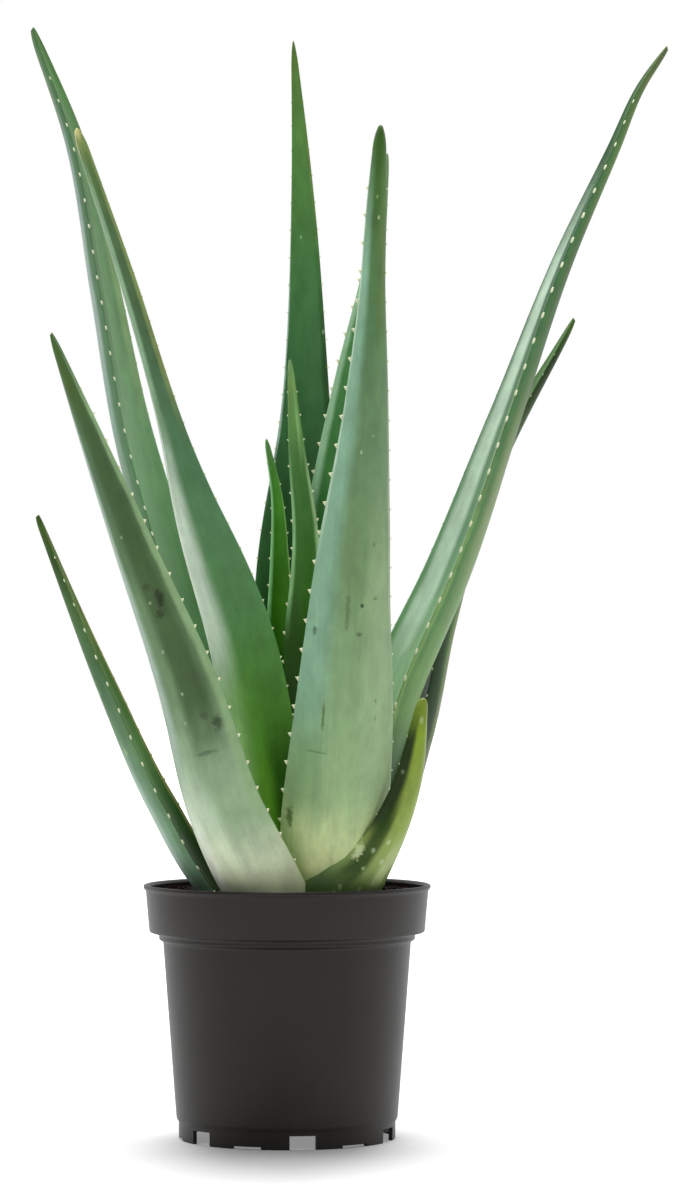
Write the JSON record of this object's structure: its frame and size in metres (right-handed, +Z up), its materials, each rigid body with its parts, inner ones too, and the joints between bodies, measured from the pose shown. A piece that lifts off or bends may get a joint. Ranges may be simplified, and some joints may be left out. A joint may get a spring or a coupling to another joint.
{
  "type": "potted aloe plant",
  "caption": "Upright rosette of long tapering succulent leaves with toothed margins, rooted in potting mix in a round tapered black plastic nursery pot.",
  "frame": {"origin": "on the surface the pot stands on, under the middle of the whole plant's box; the pot's own axis is 27 mm towards -X and 2.5 mm towards +Y from it", "axes": "+Z up along the pot's axis, -Y towards the front, +X towards the side that the two tallest leaning leaves reach to"},
  "size_m": [0.3, 0.2062, 0.52],
  "materials": {
    "pot_plastic": "satin",
    "potting_mix": "matte",
    "stem_skin": "matte",
    "leaf_01_skin": "satin",
    "leaf_02_skin": "satin",
    "leaf_03_skin": "satin",
    "leaf_04_skin": "satin",
    "leaf_05_skin": "satin",
    "leaf_06_skin": "satin",
    "leaf_07_skin": "satin",
    "leaf_08_skin": "satin",
    "leaf_09_skin": "satin",
    "leaf_10_skin": "satin",
    "leaf_11_skin": "satin",
    "leaf_12_skin": "satin"
  },
  "bodies": {
    "root": {"pot": "pot_plastic", "soil": "potting_mix", "stem": "stem_skin", "leaf_01": "leaf_01_skin", "leaf_02": "leaf_02_skin", "leaf_03": "leaf_03_skin", "leaf_04": "leaf_04_skin", "leaf_05": "leaf_05_skin", "leaf_06": "leaf_06_skin", "leaf_07": "leaf_07_skin", "leaf_08": "leaf_08_skin", "leaf_09": "leaf_09_skin", "leaf_10": "leaf_10_skin", "leaf_11": "leaf_11_skin", "leaf_12": "leaf_12_skin"}
  },
  "joints": []
}
